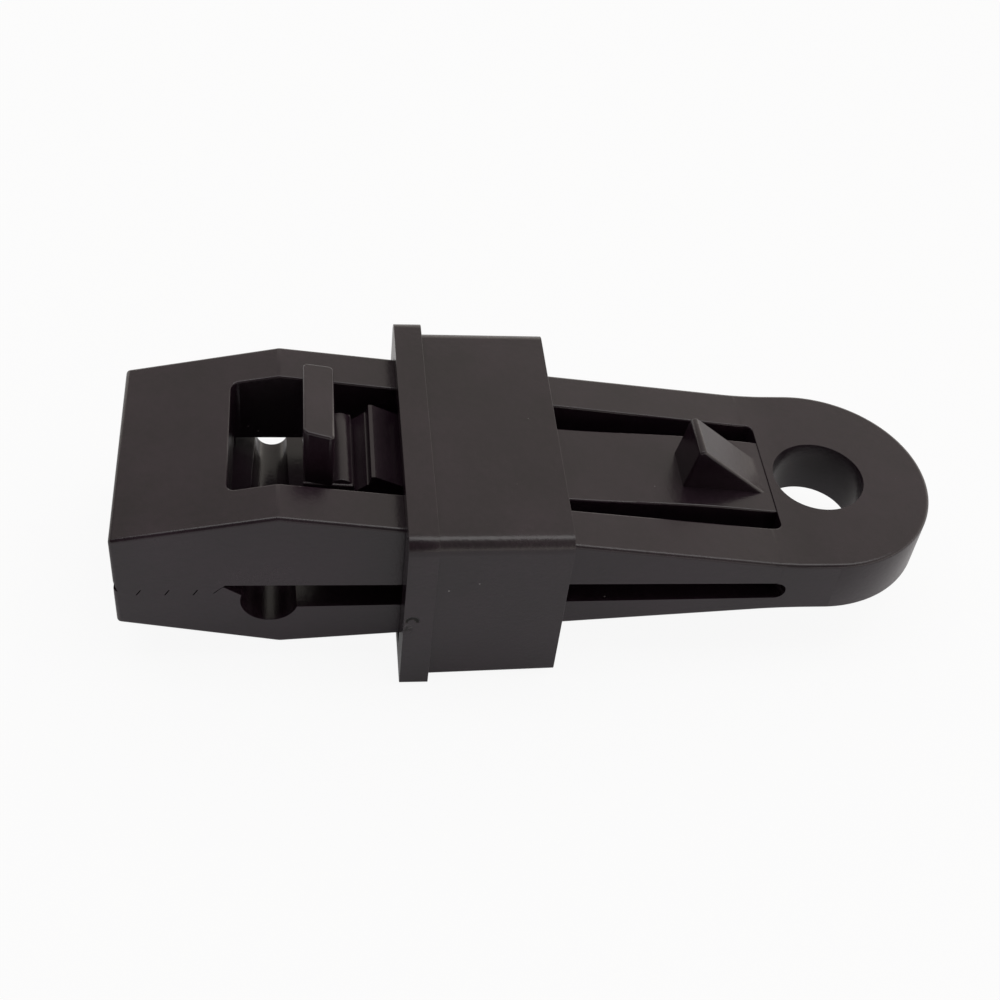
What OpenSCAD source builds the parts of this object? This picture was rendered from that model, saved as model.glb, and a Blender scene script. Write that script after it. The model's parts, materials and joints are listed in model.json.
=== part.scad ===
// Tarp clip: a toothed spring jaw with an eye at its tail, squeezed shut by a sliding collar.
// Origin: centre of the eye, halfway through its thickness. The jaws point to -X, the window faces +Z.

/* [Eye and tail] */
// Diameter of the eye
eye_d = 10.5; // [8:0.5:11]
// Width of the flat tail that carries the eye
tail_w = 26.6; // [25.8:0.2:30]
// Thickness of the flat tail
tail_t = 6.8; // [6.2:0.2:8]
// Distance from the centre of the eye back to the centre of the round end
end_back = 0.7; // [0:0.1:1.5]
// Thickness left between the eye and the slot that parts the jaws
eye_wall = 0.85; // [0.8:0.05:1.5]

/* [Jaws] */
// Distance from the eye to the front of the jaws
jaw_reach = 77.5; // [75:0.5:84]
// Distance from the front of the jaws back to their highest point
nose_len = 16.5; // [15:0.5:18]
// Width across the front of the jaws
jaw_w = 25.8; // [24:0.2:26.6]
// Height of the upper jaw at its highest point
upper_peak_h = 10.9; // [10:0.1:12]
// Height of the upper jaw at its front
upper_nose_h = 7.5; // [6:0.1:9]
// Depth of the lower jaw at its deepest point
lower_peak_h = 8.5; // [7.5:0.1:10]
// Depth of the lower jaw at its front
lower_nose_h = 5.1; // [4:0.1:7]
// Height of the flat inner face of the upper jaw
upper_inner_h = 0.8; // [0.6:0.05:1.1]
// Depth of the inner face of the lower jaw beside the cord groove
lower_inner_h = 2.6; // [2.3:0.1:3]
// Depth of the inner face of the lower jaw at the end of the slot
slot_end_h = 1.45; // [1.2:0.05:1.6]

/* [Teeth and cord groove] */
// Number of teeth across the mouth
tooth_count = 3; // [2:1:3]
// Distance from one tooth to the next
tooth_pitch = 2.9; // [2.5:0.1:3.1]
// Height of a tooth
tooth_h = 0.8; // [0.5:0.05:0.9]
// Gap between the closed rows of teeth
tooth_gap = 0.15; // [0.1:0.05:0.3]
// Radius of the groove that holds a hemmed cord
groove_r = 3.1; // [2.8:0.1:3.3]
// Distance from the front of the jaws to the centre of the cord groove
groove_back = 15.5; // [15.3:0.1:16]
// Depth of the centre of the cord groove
groove_h = 1.7; // [1.5:0.1:1.9]

/* [Window and tongue] */
// Distance from the front of the jaws back to the window
window_back = 11.3; // [11:0.1:12]
// Width of the window and of the slots behind it
window_w = 16.4; // [15.8:0.2:17]
// Width of the spring tongue
tongue_w = 11.2; // [10:0.2:12]
// Distance from the front of the jaws back to the free end of the tongue
tongue_back = 19.1; // [18.7:0.1:20]
// Thickness of the tongue at its free end
tongue_t = 2.8; // [2.4:0.1:3]
// How far the free end of the tongue lies below the rails
tongue_sink = 2.3; // [2:0.1:2.6]
// Thickness of the press post, front to back
post_t = 3.2; // [2.6:0.1:3.5]
// Width of the press post
post_w = 10.5; // [9:0.1:10.8]
// How far the press post stands above the rails
post_h = 4.5; // [3:0.1:6]
// Radius of the rounded bar behind the post
bar_r = 1; // [0.8:0.05:1.1]
// Distance from the free end of the tongue to the middle of the rounded bar
bar_back = 4.45; // [4.4:0.05:4.8]
// Distance from the free end of the tongue to the edge of the ratchet tooth
catch_back = 7.5; // [7.3:0.1:8]
// Height of the ratchet tooth above the tongue
catch_h = 1.55; // [1.2:0.05:1.6]

/* [Stop wedge] */
// Distance from the eye to the ridge of the stop wedge
stop_reach = 15.5; // [15:0.1:16]
// Height of the ridge of the stop wedge
stop_h = 10.1; // [9.9:0.1:10.4]
// Width of the stop wedge along its ridge
stop_w = 5.6; // [4.8:0.2:6.4]

/* [Collar] */
// Length of the collar along the jaws
collar_len = 17; // [15:0.5:17.5]
// Distance from the eye to the rear face of the collar
collar_reach = 31.1; // [31.1:0.1:33]
// Thickness of the collar's top and bottom walls
collar_wall = 1.6; // [1.2:0.1:2.2]
// Thickness of the collar's side walls
collar_side = 2.4; // [1.6:0.1:3]
// Gap between the collar and each side of the jaws
collar_side_gap = 0.7; // [0.3:0.1:1.2]
// Gap between the rails and the collar's top wall
collar_top_gap = 0.12; // [0.1:0.01:0.16]
// Gap between the closed lower jaw and the collar's bottom wall
collar_low_gap = 1.45; // [1.4:0.05:2]
// Length of the flange at the collar's jaw-side edge
flange_len = 3.1; // [2:0.1:4]
// How far the flange stands proud of the collar
flange_h = 0.8; // [0.4:0.1:1.2]
// Depth of the catch lip under the flange
lip_h = 0.8; // [0.5:0.1:0.9]

/* [Hidden] */
$fn = 96;

// Overrun of every cut past the face that it opens
over = 1;
// Running gap between a hinge knuckle and its socket
knuckle_gap = 0.05;
// Share of a root's half thickness that its knuckle's radius takes
knuckle_share = 0.96;
// Width trimmed off the thin lips of a hinge socket
socket_trim = 0.35;
// How far the shoulders beside a knuckle stop short of its axis
shoulder_trim = 0.1;
// Radius of the window's corners, of the slots' ends and of the collar's outer corners
window_corner_r = 0.9;
collar_corner_r = 1.1;
// The lower jaw's front lies this far behind the upper jaw's
lower_set_back = 0.2;
// Lead-in at the front of the mouth: its height on the upper jaw, and its length
lead_h = 1.35;
lead_len = 0.5;
// Distance from the front to the first tooth, and the length of a tooth's steep side
first_tooth = 2.1;
steep_len = 0.5;
// Middle height of the row of teeth
teeth_mid = -0.3;
// The upper jaw's last tooth: its length, and the length of the slope up to the inner face
last_tooth_len = 1.75;
inner_rise_len = 2.2;
// Share of the bar's radius that lies sunk in the tongue
bar_sink_share = 0.45;
// The recess between bar and ratchet tooth: its depth, and the run of the tooth's steep and easy sides
recess_h = 0.7;
recess_len = 1.4;
catch_steep_len = 0.8;
catch_ramp_len = 4.6;
// The stop wedge: its flat ridge, the lean of its steep face, the reach of its ramp's foot, its draft
ridge_len = 0.8;
stop_lean = 0.9;
ramp_foot_reach = 7;
stop_draft = 0.9;
// Length of the tongue's root that is one with the wedge, past the wedge's steep face
root_past_stop = 2.1;
// Length of the catch lip, and its width as a share of the tongue's
lip_len = 1.5;
lip_share = 0.9;

// Distances from the eye
slot_reach = eye_d / 2 + eye_wall;
slot_r = (upper_inner_h + slot_end_h) / 2;
slot_z = (upper_inner_h - slot_end_h) / 2;
hinge_reach = slot_reach + slot_r;
shoulder_reach = hinge_reach + shoulder_trim;
peak_reach = jaw_reach - nose_len;
tongue_reach = jaw_reach - tongue_back;
groove_reach = jaw_reach - groove_back;
window_reach = jaw_reach - window_back;
tongue_hinge_reach = stop_reach + stop_lean + root_past_stop;
flange_reach = collar_reach + collar_len;

// Height at a distance from the eye, on a straight line between two points [reach, height]
function line_h(a, b, reach) = a[1] + (b[1] - a[1]) * (reach - a[0]) / (b[0] - a[0]);

upper_root = [slot_reach, tail_t / 2];
upper_peak = [peak_reach, upper_peak_h];
lower_peak = [peak_reach, lower_peak_h];
function rail_h(reach) = line_h(upper_root, upper_peak, reach);
function floor_h(reach) = line_h(upper_root, lower_peak, reach);
function lower_inner(reach) = line_h([hinge_reach, slot_end_h], [groove_reach, lower_inner_h], reach);
tongue_end = [tongue_reach, rail_h(tongue_reach) - tongue_sink];
function tongue_h(reach) = line_h(upper_root, tongue_end, reach);
function under_h(reach) = line_h([slot_reach, upper_inner_h], tongue_end - [0, tongue_t], reach);
function core_h(reach) = (tongue_h(reach) + under_h(reach)) / 2;
function half_w(reach) = line_h([slot_reach, tail_w / 2], [jaw_reach, jaw_w / 2], reach);

// Living hinges: each knuckle's axis lies in the middle of its thin root, just inside both faces
upper_hinge_z = (rail_h(hinge_reach) + upper_inner_h) / 2;
upper_hinge_r = knuckle_share * (rail_h(hinge_reach) - upper_hinge_z);
lower_hinge_z = -(floor_h(hinge_reach) + slot_end_h) / 2;
lower_hinge_r = knuckle_share * (floor_h(hinge_reach) + lower_hinge_z);
tongue_hinge_z = core_h(tongue_hinge_reach);
tongue_hinge_r = knuckle_share * (tongue_h(tongue_hinge_reach) - tongue_hinge_z);

// Collar, fitted round the jaws at its flange
collar_in_top = rail_h(flange_reach) + collar_top_gap;
collar_in_low = -floor_h(flange_reach) - collar_low_gap;
collar_in_w = 2 * (half_w(collar_reach) + collar_side_gap);
collar_out_w = collar_in_w + 2 * collar_side;
collar_out_top = collar_in_top + collar_wall;
collar_out_low = collar_in_low - collar_wall;

// The row of teeth, from the front of the mouth to the last tooth, as points [x, z]
tooth_top = teeth_mid + tooth_h / 2;
tooth_fall = tooth_h / (tooth_pitch - steep_len);
function tooth_x(i) = -jaw_reach + first_tooth + i * tooth_pitch;
mouth_points = [
    [-jaw_reach, tooth_top - tooth_h + tooth_fall * (first_tooth - steep_len / 2)],
    for (i = [0 : tooth_count - 1]) each [
        [tooth_x(i) - steep_len / 2, tooth_top - tooth_h],
        [tooth_x(i) + steep_len / 2, tooth_top]
    ],
    [tooth_x(tooth_count - 1) + steep_len / 2 + last_tooth_len, tooth_top - tooth_fall * last_tooth_len]
];
mouth_end = mouth_points[len(mouth_points) - 1];
function raised(points, h) = [for (p = points) p + [0, h]];

// A side view drawn in X and Z, extruded to a width and centred on the middle plane
module side_slab(w) {
    rotate([90, 0, 0])
        linear_extrude(height = w, center = true)
            children();
}

// A plan view drawn in X and Y, extruded through the whole height
module plan_slab() {
    translate([0, 0, -lower_peak_h - over])
        linear_extrude(height = upper_peak_h + lower_peak_h + 2 * over)
            children();
}

// A section drawn in Y and Z, extruded along X from a distance behind the eye
module section_slab(reach, length) {
    translate([-reach, 0, 0])
        rotate([90, 0, 90])
            linear_extrude(height = length)
                children();
}

// Round bar across the moulding, centred on the middle plane
module cross_bar(reach, z, r, w) {
    translate([-reach, 0, z])
        rotate([90, 0, 0])
            cylinder(r = r, h = w, center = true);
}

// Plan of the whole moulding: tapered sides and a round end
module plan_outline() {
    polygon([
        [-jaw_reach, -half_w(jaw_reach)],
        [-slot_reach, -tail_w / 2],
        [-end_back, -tail_w / 2],
        [-end_back, tail_w / 2],
        [-slot_reach, tail_w / 2],
        [-jaw_reach, half_w(jaw_reach)]
    ]);
    translate([-end_back, 0])
        circle(r = tail_w / 2);
}

// Plan of the window and the slots behind it, back to a distance from the eye
module window_outline(end_reach) {
    translate([-(window_reach + end_reach) / 2, 0])
        rounded_rect(window_reach - end_reach, window_w, window_corner_r);
}

module rounded_rect(w, h, r) {
    square([w - 2 * r, h], center = true);
    square([w, h - 2 * r], center = true);
    for (x = [-1, 1]) {
        for (y = [-1, 1]) {
            translate([x * (w / 2 - r), y * (h / 2 - r)])
                circle(r = r, $fn = 48);
        }
    }
}

// Side view of the eyelet block, up to where its lips meet the jaws
module block_side() {
    lip_reach = hinge_reach - socket_trim;
    polygon([
        [-lip_reach, rail_h(lip_reach)],
        [-slot_reach, tail_t / 2],
        [tail_w / 2, tail_t / 2],
        [tail_w / 2, -tail_t / 2],
        [-slot_reach, -tail_t / 2],
        [-lip_reach, -floor_h(lip_reach)]
    ]);
}

// Root of the tongue, which stays still with the stop wedge
module tongue_root() {
    lip_reach = tongue_hinge_reach - socket_trim;
    side_slab(tongue_w)
        polygon([
            [-lip_reach, tongue_h(lip_reach)],
            [-slot_reach, tail_t / 2],
            [-eye_d / 2, tail_t / 2],
            [-eye_d / 2, upper_inner_h],
            [-slot_reach, upper_inner_h],
            [-lip_reach, under_h(lip_reach)]
        ]);
}

// Wedge that stops the collar: steep towards the jaws, a ramp towards the tail, with drafted sides
module stop_wedge() {
    foot_z = tongue_h(ramp_foot_reach);
    foot_w = stop_w + 2 * stop_draft;
    intersection() {
        side_slab(foot_w)
            polygon([
                [-stop_reach - stop_lean, tongue_h(stop_reach + stop_lean)],
                [-stop_reach, stop_h],
                [-stop_reach + ridge_len, stop_h],
                [-ramp_foot_reach, foot_z],
                [-ramp_foot_reach, core_h(ramp_foot_reach)],
                [-stop_reach - stop_lean, core_h(stop_reach + stop_lean)]
            ]);
        section_slab(stop_reach + stop_lean + over, stop_reach + stop_lean + over)
            polygon([
                [-foot_w / 2, 0],
                [foot_w / 2, 0],
                [foot_w / 2, foot_z],
                [stop_w / 2, stop_h],
                [-stop_w / 2, stop_h],
                [-foot_w / 2, foot_z]
            ]);
    }
}

// The flat tail with the slots' ends and the jaws' hinge sockets cut into it
module tail_plate() {
    cut_w = tail_w + 2 * over;
    difference() {
        intersection() {
            side_slab(cut_w)
                block_side();
            plan_slab()
                plan_outline();
        }
        cross_bar(hinge_reach, slot_z, slot_r, cut_w);
        cross_bar(hinge_reach, upper_hinge_z, upper_hinge_r + knuckle_gap, cut_w);
        cross_bar(hinge_reach, lower_hinge_z, lower_hinge_r + knuckle_gap, cut_w);
        translate([0, 0, slot_z])
            linear_extrude(height = tail_t)
                window_outline(slot_reach);
    }
}

module eyelet_block() {
    color([0.15, 0.13, 0.14])
        difference() {
            union() {
                tail_plate();
                tongue_root();
                stop_wedge();
            }
            cylinder(d = eye_d, h = tail_t + 2 * over, center = true);
            cross_bar(tongue_hinge_reach, tongue_hinge_z, tongue_hinge_r + knuckle_gap, tail_w);
        }
}

// Side view of the upper jaw: nose, teeth, flat inner face and rails
module upper_side() {
    lead_top = -jaw_reach + lead_len;
    lead_z = mouth_points[0][1] - tooth_fall * lead_len;
    polygon(concat(
        [
            [-shoulder_reach, rail_h(shoulder_reach)],
            [-peak_reach, upper_peak_h],
            [-jaw_reach, upper_nose_h],
            [-jaw_reach, lead_h],
            [lead_top, lead_z + tooth_gap / 2]
        ],
        raised([for (i = [1 : len(mouth_points) - 1]) mouth_points[i]], tooth_gap / 2),
        [
            [mouth_end[0] + inner_rise_len, upper_inner_h],
            [-shoulder_reach, upper_inner_h]
        ]
    ));
}

// The window runs on past the knuckle here, so that the knuckle lies on the two rails alone
module upper_jaw() {
    color([0.17, 0.15, 0.16])
        difference() {
            intersection() {
                union() {
                    side_slab(tail_w)
                        upper_side();
                    cross_bar(hinge_reach, upper_hinge_z, upper_hinge_r, tail_w);
                }
                plan_slab()
                    plan_outline();
            }
            translate([0, 0, teeth_mid - tooth_h])
                linear_extrude(height = upper_peak_h + lower_peak_h)
                    window_outline(hinge_reach - upper_hinge_r - over);
        }
}

// Side view of the lower jaw: nose, teeth and inner face
module lower_side() {
    front = -jaw_reach + lower_set_back;
    front_z = mouth_points[0][1] - tooth_fall * lower_set_back;
    polygon(concat(
        [
            [-shoulder_reach, -floor_h(shoulder_reach)],
            [-peak_reach, -lower_peak_h],
            [front, -lower_nose_h],
            [front, front_z - tooth_gap / 2]
        ],
        raised([for (i = [1 : len(mouth_points) - 1]) mouth_points[i]], -tooth_gap / 2),
        [
            [-groove_reach, mouth_end[1] - tooth_gap / 2],
            [-groove_reach, -lower_inner_h],
            [-shoulder_reach, -lower_inner(shoulder_reach)]
        ]
    ));
}

module lower_jaw() {
    color([0.14, 0.12, 0.13])
        difference() {
            intersection() {
                union() {
                    side_slab(tail_w)
                        lower_side();
                    cross_bar(hinge_reach, lower_hinge_z, lower_hinge_r, tail_w);
                }
                plan_slab()
                    plan_outline();
            }
            cross_bar(groove_reach, -groove_h, groove_r, tail_w + 2 * over);
        }
}

// Side view of the tongue: blade with the ratchet tooth and the recess before it
module tongue_side() {
    catch_reach = tongue_reach - catch_back;
    recess_reach = catch_reach + catch_steep_len;
    foot_reach = catch_reach - catch_ramp_len;
    root_reach = tongue_hinge_reach + shoulder_trim;
    polygon([
        [-root_reach, tongue_h(root_reach)],
        [-foot_reach, tongue_h(foot_reach)],
        [-catch_reach, tongue_h(catch_reach) + catch_h],
        [-recess_reach, tongue_h(recess_reach) - recess_h],
        [-recess_reach - recess_len, tongue_h(recess_reach + recess_len) - recess_h],
        [-recess_reach - recess_len, tongue_h(recess_reach + recess_len)],
        [-tongue_reach, tongue_h(tongue_reach)],
        [-tongue_reach, under_h(tongue_reach)],
        [-root_reach, under_h(root_reach)]
    ]);
}

// Side view of the press post, whose top is parallel to the rails
module post_side() {
    rear_reach = tongue_reach - post_t;
    polygon([
        [-tongue_reach, under_h(tongue_reach)],
        [-tongue_reach, rail_h(tongue_reach) + post_h],
        [-rear_reach, rail_h(rear_reach) + post_h],
        [-rear_reach, under_h(rear_reach)]
    ]);
}

module spring_tongue() {
    bar_reach = tongue_reach - bar_back;
    color([0.2, 0.18, 0.19])
        union() {
            side_slab(tongue_w)
                tongue_side();
            side_slab(post_w)
                post_side();
            cross_bar(tongue_hinge_reach, tongue_hinge_z, tongue_hinge_r, tongue_w);
            cross_bar(bar_reach, tongue_h(bar_reach) - bar_r * bar_sink_share, bar_r, tongue_w);
        }
}

// Section of the collar's outside, grown by a distance on every side
module collar_section(grow) {
    translate([0, (collar_out_top + collar_out_low) / 2])
        rounded_rect(
            collar_out_w + 2 * grow,
            collar_out_top - collar_out_low + 2 * grow,
            collar_corner_r
        );
}

module collar() {
    color([0.18, 0.16, 0.17]) {
        difference() {
            union() {
                section_slab(flange_reach, collar_len)
                    collar_section(0);
                section_slab(flange_reach, flange_len)
                    collar_section(flange_h);
            }
            section_slab(flange_reach + over, collar_len + 2 * over)
                translate([0, (collar_in_top + collar_in_low) / 2])
                    square([collar_in_w, collar_in_top - collar_in_low], center = true);
        }
        section_slab(flange_reach, lip_len)
            translate([0, collar_in_top + (collar_wall - lip_h) / 2])
                square([tongue_w * lip_share, collar_wall + lip_h], center = true);
    }
}

eyelet_block();
upper_jaw();
lower_jaw();
spring_tongue();
collar();
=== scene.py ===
import json
import math

import bmesh
import bpy
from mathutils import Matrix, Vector


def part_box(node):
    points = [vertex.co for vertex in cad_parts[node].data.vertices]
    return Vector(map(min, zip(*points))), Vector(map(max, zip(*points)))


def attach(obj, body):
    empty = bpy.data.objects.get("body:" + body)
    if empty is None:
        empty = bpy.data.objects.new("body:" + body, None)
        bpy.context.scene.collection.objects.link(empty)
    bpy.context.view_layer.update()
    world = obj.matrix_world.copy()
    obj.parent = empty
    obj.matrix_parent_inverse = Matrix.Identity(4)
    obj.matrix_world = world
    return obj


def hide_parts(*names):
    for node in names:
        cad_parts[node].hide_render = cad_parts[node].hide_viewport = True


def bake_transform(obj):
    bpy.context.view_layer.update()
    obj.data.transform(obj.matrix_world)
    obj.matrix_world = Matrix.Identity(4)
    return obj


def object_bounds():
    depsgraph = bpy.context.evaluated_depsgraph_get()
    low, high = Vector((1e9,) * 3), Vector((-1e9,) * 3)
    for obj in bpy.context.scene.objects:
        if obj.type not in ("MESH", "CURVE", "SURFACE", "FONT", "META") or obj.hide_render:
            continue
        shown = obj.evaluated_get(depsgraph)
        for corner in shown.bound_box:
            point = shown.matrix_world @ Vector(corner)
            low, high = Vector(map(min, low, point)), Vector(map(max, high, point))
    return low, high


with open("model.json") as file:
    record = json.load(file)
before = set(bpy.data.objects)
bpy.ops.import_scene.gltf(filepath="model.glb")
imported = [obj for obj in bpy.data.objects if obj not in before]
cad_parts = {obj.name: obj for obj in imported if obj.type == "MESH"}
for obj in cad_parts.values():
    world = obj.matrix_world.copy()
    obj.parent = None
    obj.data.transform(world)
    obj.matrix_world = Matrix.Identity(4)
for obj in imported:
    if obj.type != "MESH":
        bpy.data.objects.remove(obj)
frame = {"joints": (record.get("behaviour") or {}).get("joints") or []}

cad_low, cad_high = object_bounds()
mm = 0.001

# How the clip is photographed
# It lies on a white table under soft light from all round, seen from its near long side and above.
# The table stays white to the lens and takes only a faint shadow.
camera_place = Vector((-59.3, -119.2, 122.9)) * mm
camera_turn = [math.radians(a) for a in (44.36, -5.39, -5.42)]
camera = bpy.data.objects.new("camera", bpy.data.cameras.new("camera"))
camera.location = camera_place
camera.rotation_euler = camera_turn
camera.data.lens = 55.1
camera.data.sensor_width = 36
camera.data.clip_start = 10 * mm
bpy.context.scene.collection.objects.link(camera)
bpy.context.scene.camera = camera
bpy.context.scene.view_settings.view_transform = "Standard"


class Wire:
    """A node's output in a node tree, on which shader sums are written as Python sums."""

    def __init__(self, tree, socket=None):
        self.tree = tree
        self.socket = socket

    def node(self, kind, settings=None, inputs=None, output=0):
        """Adds a node of a type, with its settings, and the values or links of its sockets."""
        made = self.tree.nodes.new(kind)
        for name, value in (settings or {}).items():
            setattr(made, name, value)
        for key, value in (inputs or {}).items():
            if isinstance(value, Wire):
                self.tree.links.new(value.socket, made.inputs[key])
            else:
                made.inputs[key].default_value = value
        return Wire(self.tree, made.outputs[output] if len(made.outputs) else None)

    def maths(self, operation, *values):
        return self.node("ShaderNodeMath", {"operation": operation}, dict(enumerate(values)))

    def __add__(self, other):
        return self.maths("ADD", self, other)

    def __sub__(self, other):
        return self.maths("SUBTRACT", self, other)

    def __rsub__(self, other):
        return self.maths("SUBTRACT", other, self)

    def __mul__(self, other):
        return self.maths("MULTIPLY", self, other)

    def __pow__(self, other):
        return self.maths("POWER", self, other)

    __radd__ = __add__
    __rmul__ = __mul__

    def step(self, low, high):
        """0 below low and 1 above high, with a smooth rise between."""
        ends = {"Value": self, "From Min": low, "From Max": high}
        return self.node("ShaderNodeMapRange", {"interpolation_type": "SMOOTHSTEP"}, ends)


def clear_tree(holder):
    """The empty node tree of a world or a material."""
    holder.use_nodes = True
    holder.node_tree.nodes.clear()
    return Wire(holder.node_tree)


backdrop_white = (1, 1, 1, 1)
room_colour = (1, 0.945, 0.86, 1)
room_level = 0.61
right_way = (1, 0.3, 0)
right_level = 0.33
up_way = (0, 0, 1)
horizon_top = 0.42
horizon_level = 0.85
camera_side_edge = (0.5, 0.85)
camera_side_share = 0.75
world = bpy.data.worlds.new("studio")
bpy.context.scene.world = world
room = clear_tree(world)
lens_ray = room.node("ShaderNodeLightPath", output="Is Camera Ray")
glass_ray = room.node("ShaderNodeLightPath", output="Is Transmission Ray")
direction = room.node("ShaderNodeTexCoord", output="Generated")


def towards(way):
    """How nearly a direction in the room is the given one: 1 where they are the same."""
    inputs = {0: direction, 1: way}
    return room.node("ShaderNodeVectorMath", {"operation": "DOT_PRODUCT"}, inputs, output=1)


camera_side = towards(camera_place.normalized()).step(*camera_side_edge)
level = towards(right_way) * right_level + room_level
level = level + (1 - towards(up_way).step(0, horizon_top)) * horizon_level
level = level * (1 - camera_side * camera_side_share)
around = room.node("ShaderNodeBackground", inputs={"Color": room_colour, "Strength": level})
seen = room.node("ShaderNodeBackground", inputs={"Color": backdrop_white, "Strength": 1})
sky = room.node("ShaderNodeMixShader", inputs={0: lens_ray + glass_ray, 1: around, 2: seen})
room.node("ShaderNodeOutputWorld", inputs={"Surface": sky})

table_half = 2.0
table_colour = (0.84, 0.84, 0.88, 1)
shadow_share = 0.08
mirror_share = 0.18
# The collar's underside is this much higher than its solid's, and the table lies there.
collar_lift = 0.5 * mm
top = bmesh.new()
bmesh.ops.create_grid(top, size=table_half)
bmesh.ops.translate(top, vec=(0, 0, cad_low.z + collar_lift), verts=top.verts)
table = bpy.data.objects.new("table", bpy.data.meshes.new("table"))
top.to_mesh(table.data)
top.free()
bpy.context.scene.collection.objects.link(table)
table_paint = bpy.data.materials.new("white table")
wire = clear_tree(table_paint)
lens_ray = wire.node("ShaderNodeLightPath", output="Is Camera Ray")
mirror_ray = wire.node("ShaderNodeLightPath", output="Is Glossy Ray")
lit = wire.node("ShaderNodeBsdfDiffuse", inputs={"Color": table_colour})
plain = wire.node("ShaderNodeEmission", inputs={"Color": backdrop_white, "Strength": 1})
share = lens_ray * (1 - shadow_share) + mirror_ray * mirror_share
surface = wire.node("ShaderNodeMixShader", inputs={0: share, 1: lit, 2: plain})
wire.node("ShaderNodeOutputMaterial", inputs={"Surface": surface})
table.data.materials.append(table_paint)

lamp_place = Vector((-0.03, 0.04, 0.6))
clip_middle = Vector((-0.035, 0, 0))
lamp = bpy.data.objects.new("overhead", bpy.data.lights.new("overhead", "AREA"))
lamp.data.shape = "RECTANGLE"
lamp.data.size = 0.9
lamp.data.size_y = 0.25
lamp.data.energy = 1.4
lamp.location = lamp_place
lamp.rotation_euler = (clip_middle - lamp_place).to_track_quat("-Z", "Y").to_euler()
bpy.context.scene.collection.objects.link(lamp)


# Clip moulding
# One flexible piece of black plastic, shot in a two-part mould: tail, two jaws and a spring tongue.
# The tail and the jaws are cut from one blank, so that their edges run on over the seams.
block_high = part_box("eyelet_block")[1]
upper_low, upper_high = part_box("upper_jaw")
lower_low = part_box("lower_jaw")[0]
tail_half_w = block_high.y + 0.45 * mm
tail_half_t = 3.35 * mm
tail_top_z = 3.65 * mm
end_centre_x = block_high.x - block_high.y - 0.3 * mm
end_steps = 120
slot_x = -6.1 * mm
peak_x = upper_low.x + 16.5 * mm
upper_peak_z = upper_high.z
lower_peak_z = lower_low.z
front_x = upper_low.x - 0.4 * mm
lower_front_x = lower_low.x - 0.65 * mm
front_half_w = 13.1 * mm
front_step_z = 1.35 * mm
upper_nose_z = 7.5 * mm
lower_nose_z = -5.1 * mm
edge_round = 0.42 * mm
peak_round = 0.2 * mm
bend_round = 2.5 * mm
bend_rows = 10

# How far a cutting tool reaches past what it cuts, how near points have to be to count as one,
# and how near they have to be to a line to count as on it.
overrun = 1 * mm
hair = 0.001 * mm
touch = 0.02 * mm

# A face no wider than this is a rounding if it turns at least this much along its length, and an
# edge that turns more than the last angle stays sharp.
widest_round = 0.75 * mm
round_turn = math.radians(1)
sharp_turn = math.radians(33)


def on_line(a, b, x):
    """Height at x on the straight line through two points (x, z)."""
    return a[1] + (b[1] - a[1]) * (x - a[0]) / (b[0] - a[0])


def arc(centre, radius, start, end, steps):
    """Points of an arc, its angles in degrees, both ends included."""
    turns = [math.radians(start + (end - start) * i / steps) for i in range(steps + 1)]
    return [(centre[0] + radius * math.cos(t), centre[1] + radius * math.sin(t)) for t in turns]


# The three views in which outlines are drawn: where a drawn point lies, at a depth.
def side_view(a, b, depth):
    return Vector((a, depth, b))


def plan_view(a, b, depth):
    return Vector((a, b, depth))


def section_view(a, b, depth):
    return Vector((depth, a, b))


def prism(points, view, low, high):
    """A solid whose outline is drawn in one view, and extruded between two depths."""
    bm = bmesh.new()
    face = bm.faces.new([bm.verts.new(view(a, b, low)) for a, b in points])
    grown = bmesh.ops.extrude_face_region(bm, geom=[face])["geom"]
    moved = [v for v in grown if isinstance(v, bmesh.types.BMVert)]
    bmesh.ops.translate(bm, vec=view(0, 0, high) - view(0, 0, low), verts=moved)
    bmesh.ops.recalc_face_normals(bm, faces=bm.faces)
    return bm


def tidy(bm):
    """Merges doubled points and takes out edges that lie flat within a face."""
    flat = math.radians(0.1)
    bmesh.ops.remove_doubles(bm, verts=bm.verts, dist=2 * hair)
    bmesh.ops.dissolve_limit(
        bm, angle_limit=flat, verts=bm.verts, edges=bm.edges, delimit={"NORMAL"})
    return bm


def combine(body, tool, operation):
    """The solid left after a Boolean of body with tool. Both are used up."""
    held = []
    for bm in (body, tool):
        mesh = bpy.data.meshes.new("held")
        bm.to_mesh(mesh)
        bm.free()
        held.append(bpy.data.objects.new("held", mesh))
        bpy.context.scene.collection.objects.link(held[-1])
    boolean = held[0].modifiers.new("combine", "BOOLEAN")
    boolean.operation = operation
    boolean.solver = "EXACT"
    boolean.object = held[1]
    bpy.context.view_layer.update()
    result = bmesh.new()
    result.from_object(held[0], bpy.context.evaluated_depsgraph_get())
    # Removing a mesh removes its object too.
    for o in held:
        bpy.data.meshes.remove(o.data)
    return tidy(result)


def cut(body, tool):
    return combine(body, tool, "DIFFERENCE")


def join(body, other):
    return combine(body, other, "UNION")


def round_edges(bm, chosen, width, steps=4):
    bmesh.ops.bevel(
        bm, geom=chosen, offset=width, offset_type="OFFSET", affect="EDGES",
        segments=steps, profile=0.5, material=-1, clamp_overlap=True,
    )
    return bm


def near(a, b):
    return abs(a - b) < touch


def sharp_edges(bm, least_turn=25, test=lambda point: True):
    """Edges whose faces turn by at least that many degrees, and whose ends both pass a test."""
    least = math.radians(least_turn)
    return [e for e in bm.edges
            if e.calc_face_angle(0) > least and all(test(v.co) for v in e.verts)]


def runs_along(edge):
    """Whether an edge runs along the clip, and not across it."""
    return abs(edge.verts[0].co.y - edge.verts[1].co.y) < 1 * mm


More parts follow.
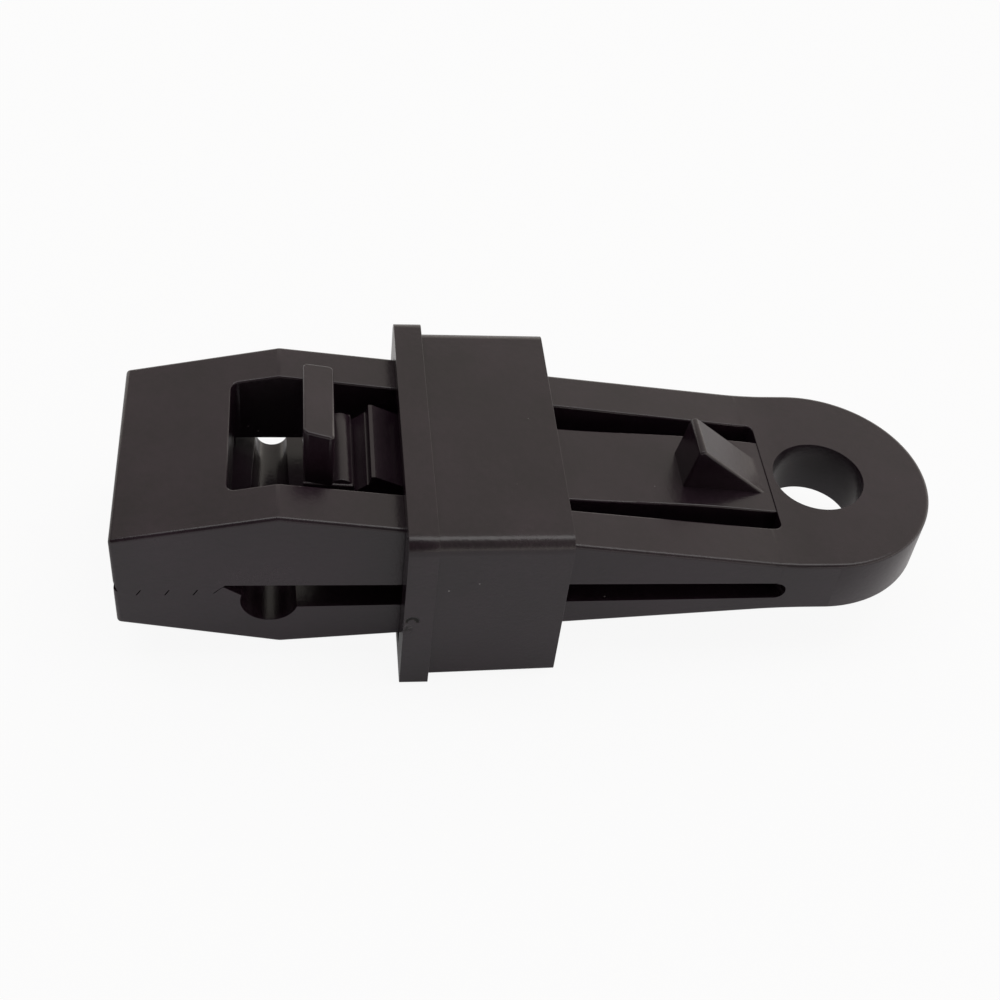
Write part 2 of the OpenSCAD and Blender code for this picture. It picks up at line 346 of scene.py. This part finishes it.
def moulding_blank():
    """The moulding before it is cut, with tapered sides, a round end and soft edges."""
    outline = [
        (end_centre_x, tail_top_z), (slot_x, tail_top_z), (peak_x, upper_peak_z),
        (front_x, upper_nose_z), (front_x, front_step_z), (lower_front_x, -front_step_z / 2),
        (lower_front_x, lower_nose_z), (peak_x, lower_peak_z), (slot_x, -tail_half_t),
        (end_centre_x, -tail_half_t),
    ]
    bm = prism(outline, side_view, -tail_half_w, tail_half_w)
    for v in bm.verts:
        if v.co.x < slot_x:
            side = on_line((slot_x, tail_half_w), (front_x, front_half_w), v.co.x)
            v.co.y *= side / tail_half_w
    end_face = max(bm.faces, key=lambda f: f.calc_center_median().x)
    near_edge = min(end_face.edges, key=lambda e: (e.verts[0].co + e.verts[1].co).y)
    bmesh.ops.delete(bm, geom=[end_face], context="FACES_ONLY")
    bmesh.ops.spin(
        bm, geom=[near_edge, *near_edge.verts], cent=(end_centre_x, 0, 0), axis=(0, 0, 1),
        angle=math.pi, steps=end_steps,
    )
    bmesh.ops.remove_doubles(bm, verts=bm.verts, dist=hair)
    bmesh.ops.holes_fill(bm, edges=bm.edges)
    tidy(bm)
    bmesh.ops.recalc_face_normals(bm, faces=bm.faces)
    for x, width, steps in ((peak_x, peak_round, 2), (slot_x, bend_round, 12)):
        at_x = [e for e in bm.edges if all(near(v.co.x, x) for v in e.verts)]
        round_edges(bm, [e for e in at_x if not runs_along(e)], width, steps)
    return round_edges(bm, sharp_edges(bm), edge_round)


def slice_at(bm, x, **sides):
    """Cuts a row of points across the clip at x, and clears the side it is told to."""
    whole = [*bm.verts, *bm.edges, *bm.faces]
    return bmesh.ops.bisect_plane(bm, geom=whole, plane_co=(x, 0, 0), plane_no=(1, 0, 0), **sides)


def seam(bm, x, keep):
    """Cuts a solid off at x, keeps its side towards the jaws or the tail, and closes the cut."""
    made = slice_at(bm, x, dist=hair, clear_outer=keep == "jaws", clear_inner=keep == "tail")
    rim = [e for e in made["geom_cut"] if isinstance(e, bmesh.types.BMEdge)]
    bmesh.ops.holes_fill(bm, edges=rim)
    return bm


def rows_of_points(bm, start, end):
    """Cuts rows of points across a stretch that bends."""
    for i in range(bend_rows):
        slice_at(bm, start + (end - start) * (i + 1) / bend_rows)


def shade(bm):
    """Smooths narrow faces that turn along their length, as on edges and round walls."""
    for f in bm.faces:
        longest = max(f.edges, key=lambda e: e.calc_length())
        width = f.calc_area() / longest.calc_length() * (2 if len(f.verts) == 3 else 1)
        f.smooth = width < widest_round and longest.calc_face_angle(0) > round_turn
    for e in bm.edges:
        e.smooth = e.calc_face_angle(0) < sharp_turn


def show(bm, name, paint):
    """Makes a solid a shown piece with its material."""
    bmesh.ops.connect_verts_concave(bm, faces=bm.faces)
    shade(bm)
    piece = bpy.data.objects.new(name, bpy.data.meshes.new(name))
    bm.to_mesh(piece.data)
    bm.free()
    piece.data.materials.append(paint)
    bpy.context.scene.collection.objects.link(piece)
    return piece


moulding_black = (0.016, 0.0085, 0.014)
dull_share, bright_share = 0.7, 1.35
dust_grey = (0.2, 0.2, 0.2, 1)
dust_scale = 210
dust_edge = (0.012, 0.03)
least_rough = 0.18
grain_depth = 0.06 * mm
knock_rough = 0.5
knock_height = 3


def black_plastic(name, base, offset, mark_dent_and_shade=None):
    """Moulded black plastic: a fine grain, faint flow marks, and a few specks of dust."""
    paint = bpy.data.materials.new(name)
    wire = clear_tree(paint)
    here = wire.node("ShaderNodeTexCoord", output="Object")
    place = wire.node("ShaderNodeMapping", inputs={"Vector": here, "Location": offset})

    def noise(scale, detail, roughness=0.5):
        inputs = {"Vector": place, "Scale": scale, "Detail": detail, "Roughness": roughness}
        return wire.node("ShaderNodeTexNoise", inputs=inputs)

    def mixed(share, first, second):
        inputs = {0: share, 6: first, 7: second}
        return wire.node("ShaderNodeMix", {"data_type": "RGBA"}, inputs, output=2)

    flow = noise(scale=110, detail=3)
    grain = noise(scale=3200, detail=2)
    fine = noise(scale=1500, detail=4, roughness=0.6)
    dull, bright = [(*[c * s for c in base], 1) for s in (dull_share, bright_share)]
    colour = mixed((flow * 0.6 + fine * 0.4).step(0.3, 0.7), dull, bright)
    cells = wire.node("ShaderNodeTexVoronoi", inputs={"Vector": place, "Scale": dust_scale})
    colour = mixed(1 - cells.step(*dust_edge), colour, dust_grey)
    roughness = least_rough + flow * 0.08 + fine * 0.06
    height = flow * 0.35 + grain * 0.3 + fine * 0.35
    # A mark, if given, is pressed in, made rougher and painted black: painted shade in its hollow.
    if mark_dent_and_shade:
        dent_and_shade = mark_dent_and_shade(wire, here, fine)
        colour = mixed(dent_and_shade, colour, (0, 0, 0, 1))
        roughness = roughness + dent_and_shade * knock_rough
        height = height - dent_and_shade * knock_height
    bump = {"Height": height, "Strength": 0.8, "Distance": grain_depth}
    shader = wire.node("ShaderNodeBsdfPrincipled", inputs={
        "Base Color": colour, "Roughness": roughness,
        "Normal": wire.node("ShaderNodeBump", inputs=bump), "IOR": 1.5,
    })
    wire.node("ShaderNodeOutputMaterial", inputs={"Surface": shader})
    return paint


moulding_plastic = black_plastic("black moulding plastic", moulding_black, (0.31, 0.12, 0.53))


# Eyelet tail
# The flat round end that takes the tie cord, with the root of the tongue and the stop wedge on it.
# The mould leaves its edges soft, and the slot that parts the jaws ends in a half round.
hinges = {j["name"]: Vector(j["pos_m"]) for j in frame["joints"] if "pos_m" in j}
tongue_low, tongue_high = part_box("spring_tongue")
eye_r = 5.25 * mm
eye_round = 0.2 * mm
eye_steps = 96
hinge_x = hinges["lower_jaw_open"].x
upper_inner_z = 0.8 * mm
slot_end_z = -1.45 * mm
slot_r = (upper_inner_z - slot_end_z) / 2
slot_z = (upper_inner_z + slot_end_z) / 2
window_x = upper_low.x + 11.3 * mm
window_half_w = 8.2 * mm
window_corner = 0.9 * mm
window_round = 0.22 * mm
tongue_half_w = tongue_high.y
tongue_tip_x = tongue_low.x
tongue_tip_drop = 2.3 * mm
tongue_t = 2.8 * mm
tongue_round = 0.2 * mm
least_long = 4.5 * mm
tongue_seam_x = -17.5 * mm
root_x = slot_x + 0.6 * mm
root_drop = 0.5 * mm
bow_end_x = -28 * mm
bow_h = 0.26 * mm
bow_lean = 0.8
bow_steps = 24
# How far a face is set into another part, so that no two faces lie on each other.
in_wall = 0.03 * mm
ratchet_x = tongue_tip_x + 7.5 * mm
ratchet_h = 1.55 * mm
ratchet_land = 0.4 * mm
ratchet_steep = 0.3 * mm
ratchet_ledge = 0.12 * mm
ratchet_ledge_h = 0.35 * mm
ratchet_ramp = 3.9 * mm
recess_depth = 1 * mm
recess_x = tongue_tip_x + 5.15 * mm
wedge_ridge_x = -15.1 * mm
wedge_ridge_r = 0.5 * mm
wedge_ridge_turn = (169, 50)
wedge_lean = 1.05 * mm
wedge_foot_x = -7 * mm
wedge_half_w = 2.8 * mm
wedge_top_z = block_high.z
wedge_round = 0.25 * mm
wedge_sunk = 0.5 * mm


def circle(centre, radius, count):
    """So many points evenly round a circle."""
    return arc(centre, radius, 0, 360 - 360 / count, count - 1)


def rounded_rectangle(low, high, radius, low_radius=None, steps=8):
    """Points round a rectangle with round corners, whose lower two may have their own radius."""
    points = []
    corners = [(high[0], high[1]), (low[0], high[1]), (low[0], low[1]), (high[0], low[1])]
    for turn, (x, y) in enumerate(corners):
        r = radius if turn < 2 or low_radius is None else low_radius
        centre = (x - r if x == high[0] else x + r, y - r if y == high[1] else y + r)
        points += arc(centre, r, 90 * turn, 90 * turn + 90, steps)
    return points


def across_clip(outline):
    """A cutting tool drawn in side view, which reaches past both sides of the clip."""
    return prism(outline, side_view, -tail_half_w - overrun, tail_half_w + overrun)


def rail_z(x):
    """Height of the rails' top, which rises from the tail to the peak."""
    return on_line((slot_x, tail_top_z), (peak_x, upper_peak_z), x)


def upper_side_z(x):
    """Height of the upper side, which falls again from the peak to the front."""
    if x > peak_x:
        return rail_z(x)
    return on_line((peak_x, upper_peak_z), (front_x, upper_nose_z), x)


def window_tool():
    """What is cut from the upper side for the window and the slots beside the tongue."""
    outline = rounded_rectangle((window_x, -window_half_w), (slot_x, window_half_w), window_corner)
    return prism(outline, plan_view, slot_z, upper_peak_z + overrun)


def window_rim(bm, top_at):
    """The window's upper edges, where the upper side has the height that top_at gives."""
    def on_rim(p):
        inside = abs(p.y) < window_half_w + touch and window_x - touch < p.x < slot_x + touch
        return inside and abs(p.z - top_at(p.x)) < 6 * touch

    return sharp_edges(bm, test=on_rim)


tongue_tip_z = rail_z(tongue_tip_x) - tongue_tip_drop


def tongue_z(x):
    """Height of the tongue's top, which is slightly bowed near its root."""
    share = min(max((x - slot_x) / (bow_end_x - slot_x), 0), 1)
    straight = on_line((slot_x, tail_top_z), (tongue_tip_x, tongue_tip_z), x)
    return straight + bow_h * math.sin(math.pi * share ** bow_lean) ** 2


def tongue_under_z(x):
    return on_line((slot_x, upper_inner_z), (tongue_tip_x, tongue_tip_z - tongue_t), x)


def tongue_blade():
    """The tongue from inside the tail to its free end, with the ratchet tooth and its recess."""
    bow = [slot_x + (bow_end_x - slot_x) * i / bow_steps for i in range(1, bow_steps + 1)]
    ramp_x = ratchet_x + ratchet_ramp
    steep_x = ratchet_x - ratchet_land - ratchet_steep
    ledge_x = steep_x - ratchet_ledge
    outline = [
        (root_x, tongue_z(slot_x) - root_drop),
        (slot_x + in_wall, tongue_z(slot_x) - in_wall),
        *[(x, tongue_z(x)) for x in bow],
        (ramp_x, tongue_z(ramp_x)),
        (ratchet_x, tongue_z(ratchet_x) + ratchet_h),
        (ratchet_x - ratchet_land, tongue_z(ratchet_x) + ratchet_h),
        (steep_x, tongue_z(steep_x) + ratchet_ledge_h),
        (ledge_x, tongue_z(ledge_x) + ratchet_ledge_h),
        (recess_x, tongue_z(recess_x) - recess_depth),
        (recess_x, tongue_z(recess_x)),
        (tongue_tip_x, tongue_tip_z),
        (tongue_tip_x, tongue_tip_z - tongue_t),
        (root_x, tongue_under_z(root_x) + in_wall),
    ]
    bm = prism(outline, side_view, -tongue_half_w, tongue_half_w)
    # Only the long edges and those of the bow are rounded. A short one beside them would make
    # the bevel clamp all of them to nothing.
    long_edges = []
    for e in sharp_edges(bm, least_turn=60):
        start, end = sorted(v.co.x for v in e.verts)
        on_bow = start > bow_end_x - in_wall and end < slot_x + 2 * in_wall
        if on_bow or end - start > least_long:
            long_edges.append(e)
    return round_edges(bm, long_edges, tongue_round, steps=3)


def stop_wedge():
    """Wedge on the root of the tongue: steep towards the jaws, a long ramp towards the eye."""
    steep_x = wedge_ridge_x - wedge_ridge_r - wedge_lean
    ridge_centre = (wedge_ridge_x, wedge_top_z - wedge_ridge_r)
    ridge = arc(ridge_centre, wedge_ridge_r, *wedge_ridge_turn, steps=8)
    foot = (wedge_foot_x, tongue_z(wedge_foot_x))
    deeper_x = wedge_foot_x + wedge_sunk
    deeper_z = on_line(ridge[-1], foot, deeper_x)
    profile = [
        (steep_x, tongue_z(steep_x) - wedge_sunk), *ridge, (deeper_x, deeper_z),
        (wedge_foot_x - wedge_sunk, deeper_z - wedge_sunk / 2),
    ]
    bm = prism(profile, side_view, -wedge_half_w, wedge_half_w)
    above = sharp_edges(bm, least_turn=45, test=lambda p: p.z > deeper_z - touch)
    return round_edges(bm, [e for e in above if runs_along(e)], wedge_round, steps=3)


half_round = arc((hinge_x, slot_z), slot_r, 90, -90, steps=24)
slot_start_x = hinge_x - overrun
slot = across_clip([*half_round, (slot_start_x, slot_end_z), (slot_start_x, upper_inner_z)])
tail = cut(cut(moulding_blank(), slot), window_tool())
round_edges(tail, window_rim(tail, rail_z), window_round, steps=3)
eye = circle((0, 0), eye_r, eye_steps)
tail = cut(tail, prism(eye, plan_view, -tail_half_t - overrun, tail_top_z + overrun))
eye_rim = sharp_edges(tail, test=lambda p: near(math.hypot(p.x, p.y), eye_r))
round_edges(tail, eye_rim, eye_round)
seam(tail, hinge_x, "tail")
root = seam(join(tongue_blade(), stop_wedge()), tongue_seam_x, "tail")
tail = join(tail, root)
eyelet_tail = show(tail, "eyelet_tail", moulding_plastic)
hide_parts("eyelet_block")
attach(eyelet_tail, "eyelet_block")


# Upper jaw
# Toothed nose and two rails beside the window, one with the tail, from which they spring.
# The nose is solid, and its teeth bite into those of the lower jaw.
bend_x = -20 * mm
tooth_count = 3
tooth_pitch = 2.9 * mm
tooth_h = 0.8 * mm
tooth_gap = 0.03 * mm
tooth_shift = 0.12 * mm
first_tooth_x = upper_low.x + 2.1 * mm
last_tooth_len = 1.6 * mm
steep_len = 0.5 * mm
teeth_z = -0.3 * mm
tooth_fall = tooth_h / (tooth_pitch - steep_len)
mouth_end_x = first_tooth_x + (tooth_count - 1) * tooth_pitch + steep_len / 2 + last_tooth_len
mouth_end_z = teeth_z + tooth_h / 2 - tooth_fall * last_tooth_len
upper_lead = 0.5 * mm
roof_round = 0.12 * mm
relief_z = 1.75 * mm
relief_start_x = window_x + 0.3 * mm
relief_end_x = -56 * mm


def mouth_line(half_gap, lead):
    """The row of teeth from front to inner end, shifted by half the gap between the two rows."""
    start_z = teeth_z - tooth_h / 2 + tooth_fall * (first_tooth_x - steep_len / 2 - front_x)
    points = [(front_x + lead, start_z - tooth_fall * lead)]
    for i in range(tooth_count):
        x = first_tooth_x + i * tooth_pitch
        points.append((x - steep_len / 2, teeth_z - tooth_h / 2))
        points.append((x + steep_len / 2, teeth_z + tooth_h / 2))
    points.append((mouth_end_x, mouth_end_z))
    return [(x - math.copysign(tooth_shift / 2, half_gap), z + half_gap) for x, z in points]


def below_upper_jaw():
    """What is cut away under the upper jaw."""
    return across_clip([
        (front_x - overrun, front_step_z), (front_x, front_step_z),
        *mouth_line(tooth_gap / 2, upper_lead),
        (mouth_end_x + upper_inner_z - mouth_end_z, upper_inner_z),
        (hinge_x + overrun, upper_inner_z), (hinge_x + overrun, lower_peak_z - overrun),
        (front_x - overrun, lower_peak_z - overrun),
    ])


def on_slot_roof(p):
    """Whether a point is on the rails' underside, outside the window."""
    return near(p.z, upper_inner_z) and abs(p.y) > window_half_w


upper = seam(moulding_blank(), hinge_x + overrun / 2, "jaws")
upper = cut(upper, below_upper_jaw())
roof_edges = [e for e in sharp_edges(upper, 60, on_slot_roof) if runs_along(e)]
round_edges(upper, roof_edges, roof_round, steps=2)
upper = cut(upper, window_tool())
for side in (-1, 1):
    inner_y = side * (window_half_w - overrun)
    relief = [(inner_y, relief_z + overrun), (inner_y, 0), (side * (window_half_w + relief_z), 0)]
    upper = cut(upper, prism(relief, section_view, relief_start_x, relief_end_x))
round_edges(upper, window_rim(upper, upper_side_z), window_round, steps=3)
seam(upper, hinge_x, "jaws")
rows_of_points(upper, hinge_x, bend_x)
upper_jaw = show(upper, "upper_jaw_nose_and_rails", moulding_plastic)
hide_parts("upper_jaw")
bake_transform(upper_jaw)


# Lower jaw
# A plate with the other row of teeth and, behind them, a half-round groove for the cord in a hem.
# It springs from the tail as the rails do.
groove_x = upper_low.x + 15.5 * mm
groove_z = -1.7 * mm
groove_r = 3.1 * mm
groove_far_share = 0.55
groove_far_rise = -0.8 * mm
groove_steps = 40
lower_inner_z = -2.6 * mm
lip_z = -0.75 * mm
lip_rise = 0.95 * mm


def above_lower_jaw():
    """What is cut away over the lower jaw, with the groove, which narrows towards the far side."""
    lip_angle = 180 - math.degrees(math.asin((lip_z - groove_z) / groove_r))
    back_angle = math.degrees(math.asin((lower_inner_z - groove_z) / groove_r))
    bm = across_clip([
        (lower_front_x - overrun, upper_peak_z),
        (lower_front_x - overrun, mouth_line(-tooth_gap / 2, 0)[0][1]),
        *mouth_line(-tooth_gap / 2, lower_front_x - front_x),
        (mouth_end_x + lip_rise + tooth_shift / 2, mouth_end_z + lip_rise),
        *arc((groove_x, groove_z), groove_r, lip_angle, 360 + back_angle, groove_steps),
        (hinge_x, slot_end_z), (hinge_x + overrun, slot_end_z), (hinge_x + overrun, upper_peak_z),
    ])
    for v in bm.verts:
        from_axis = v.co - Vector((groove_x, v.co.y, groove_z))
        if v.co.y > 0 and near(from_axis.length, groove_r):
            v.co.x = groove_x + from_axis.x * groove_far_share
            if from_axis.z < 0:
                v.co.z = groove_z + groove_far_rise + from_axis.z * groove_far_share
    return bm


lower = seam(moulding_blank(), hinge_x + overrun / 2, "jaws")
lower = cut(lower, above_lower_jaw())
seam(lower, hinge_x, "jaws")
rows_of_points(lower, hinge_x, bend_x)
lower_jaw = show(lower, "lower_jaw_plate", moulding_plastic)
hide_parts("lower_jaw")
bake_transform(lower_jaw)


# Spring tongue
# A springy blade in the window, with a press post, a rounded bar and a ratchet tooth near its free
# end. Pressing the post lets the tooth go, so that the collar slides back.
post_t = 3.2 * mm
post_half_w = 5.65 * mm
post_top_z = tongue_high.z - 0.4 * mm
post_slope = 0.24
post_draft = 0.3 * mm
post_corner = 0.55 * mm
post_round = 0.25 * mm
bar_x = tongue_tip_x + 3.95 * mm
bar_r = 1.5 * mm
bar_sunk = 1.03 * mm
bar_half_w = tongue_half_w - 0.35 * mm
bar_round = 0.15 * mm
bar_steps = 36
tongue_bend_x = -34 * mm


def press_post():
    """The post that the thumb presses, whose top falls towards the tail."""
    low, high = (tongue_tip_x - in_wall, -post_half_w), (tongue_tip_x + post_t, post_half_w)
    outline = rounded_rectangle(low, high, post_corner)
    bm = prism(outline, plan_view, tongue_tip_z - tongue_t, tongue_high.z)
    for v in bm.verts:
        reach = high[0] - v.co.x
        if v.co.z > tongue_tip_z:
            v.co.z = post_top_z + post_slope * reach
        else:
            v.co.z = tongue_under_z(v.co.x) - in_wall
        v.co.y *= 1 - post_draft / post_half_w * reach / post_t
    above = sharp_edges(bm, least_turn=45, test=lambda p: p.z > tongue_tip_z)
    return round_edges(bm, above, post_round, steps=3)


bar_outline = circle((bar_x, tongue_z(bar_x) - bar_sunk), bar_r, bar_steps)
bar = prism(bar_outline, side_view, -bar_half_w, bar_half_w)
round_edges(bar, sharp_edges(bar, least_turn=60), bar_round, steps=3)
blade = join(join(tongue_blade(), press_post()), bar)
seam(blade, tongue_seam_x, "jaws")
rows_of_points(blade, tongue_seam_x, tongue_bend_x)
tongue = show(blade, "spring_tongue_blade", moulding_plastic)
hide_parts("spring_tongue")
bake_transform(tongue)


# Sliding collar
# A separate square sleeve of the same plastic, with a raised flange round its jaw-side edge and,
# under its top, a hook for the ratchet tooth. Sliding it towards the jaws squeezes them shut.
collar_low, collar_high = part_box("collar")
front, rear = collar_low.x, collar_high.x
flange_h = 0.8 * mm
flange_len = 3.1 * mm
collar_corner = 1.65 * mm
collar_low_corner = 0.5 * mm
collar_half_w = collar_high.y + 0.6 * mm
collar_top_z = collar_high.z - 0.08 * mm
sleeve_low_z = collar_low.z + flange_h + 0.25 * mm
rear_lift = 0.4 * mm
rear_draw = 0.1 * mm
rim_round = 0.25 * mm
wall_t = 1.6 * mm
side_wall_t = 2.53 * mm
bore_corner = 0.5 * mm
hook_h = 0.8 * mm
hook_len = 1.5 * mm
hook_half_w = tongue_half_w * 0.9


def collar_loop(bm, x, half_w, top, bottom):
    """A closed loop of the collar's outer section at x."""
    low, high = (-half_w, bottom), (half_w, top)
    section = rounded_rectangle(low, high, collar_corner, collar_low_corner)
    ring = [bm.verts.new(section_view(a, b, x)) for a, b in section]
    return [bm.edges.new(pair) for pair in zip(ring, ring[1:] + ring[:1])]


shell = bmesh.new()
flange = (collar_half_w, collar_top_z, collar_low.z + collar_lift)
sleeve = (collar_half_w - flange_h, collar_top_z - flange_h, sleeve_low_z)
sleeve_end = (sleeve[0] - rear_draw, sleeve[1], sleeve_low_z + rear_lift)
stations = [
    (front, *flange), (front + flange_len, *flange), (front + flange_len, *sleeve),
    (rear, *sleeve_end),
]
loops = [collar_loop(shell, *station) for station in stations]
for a, b in zip(loops, loops[1:]):
    bmesh.ops.bridge_loops(shell, edges=a + b)
bmesh.ops.holes_fill(shell, edges=loops[0] + loops[-1])
bmesh.ops.recalc_face_normals(shell, faces=shell.faces)
bore_half_w = collar_high.y - flange_h - side_wall_t
bore_top_z = collar_high.z - (flange_h + wall_t)
bore_low_z = collar_low.z + (flange_h + wall_t)
bore = rounded_rectangle((-bore_half_w, bore_low_z), (bore_half_w, bore_top_z), bore_corner)
shell = cut(shell, prism(bore, section_view, front - overrun, rear + overrun))
round_edges(shell, sharp_edges(shell, least_turn=60), rim_round, steps=3)
hook_front, hook_rear = front + rim_round + in_wall, front + hook_len
hook_top_z = collar_high.z - flange_h - wall_t / 2
hook_low_z = collar_high.z - flange_h - wall_t - hook_h
hook_outline = [
    (hook_front, hook_low_z), (hook_rear, hook_low_z), (hook_rear, hook_top_z),
    (hook_front, hook_top_z),
]
shell = join(shell, prism(hook_outline, side_view, -hook_half_w, hook_half_w))

collar_black = (0.016, 0.009, 0.014)
# Where the pressed-in arch lies, whose dark colour is painted shade in it.
dent_and_shade_x = collar_low.x + 0.85 * mm
dent_and_shade_z = -0.1 * mm
dent_and_shade_r = 0.7 * mm
dent_and_shade_depth = 0.4 * mm
arch_r = 1.15
arch_ragged = 0.7
arch_edge = (0.01, 0.12)
arch_foot = (-0.3, 0.1)
patch_shift = 0.5
patch_drop = 1.2
patch_flat = 0.7
patch_edge = (0.1, 0.7)
patch_grain = (0.35, 0.6)
patch_share = 0.6


def flange_dent_and_shade(wire, here, fine):
    """A small arch pressed into the flange's near side, with a rough patch pressed in under it.
    Both are darkened, and the arch's dark is painted shade in its hollow.
    """
    along, across, up = [
        wire.node("ShaderNodeSeparateXYZ", inputs={0: here}, output=i) for i in range(3)]
    near_side = 1 - across.step(-collar_high.y, -collar_high.y + dent_and_shade_depth)
    x = (along - dent_and_shade_x) * (1 / dent_and_shade_r)
    z = (up - dent_and_shade_z) * (1 / dent_and_shade_r)
    off_arch = (x * x + z * z) ** 0.5 - arch_r + fine * arch_ragged
    arch = (1 - (off_arch * off_arch).step(*arch_edge)) * z.step(*arch_foot)
    x = (along - dent_and_shade_x) * (1 / dent_and_shade_r) + patch_shift
    z = (up - dent_and_shade_z) * (patch_flat / dent_and_shade_r) + patch_drop
    patch = (1 - (x * x + z * z).step(*patch_edge)) * fine.step(*patch_grain)
    return (arch + patch * patch_share) * near_side


collar_plastic = black_plastic(
    "black collar plastic", collar_black, (0.77, 0.41, 0.23), flange_dent_and_shade)
collar = show(shell, "sliding_collar", collar_plastic)
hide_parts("collar")
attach(collar, "collar")
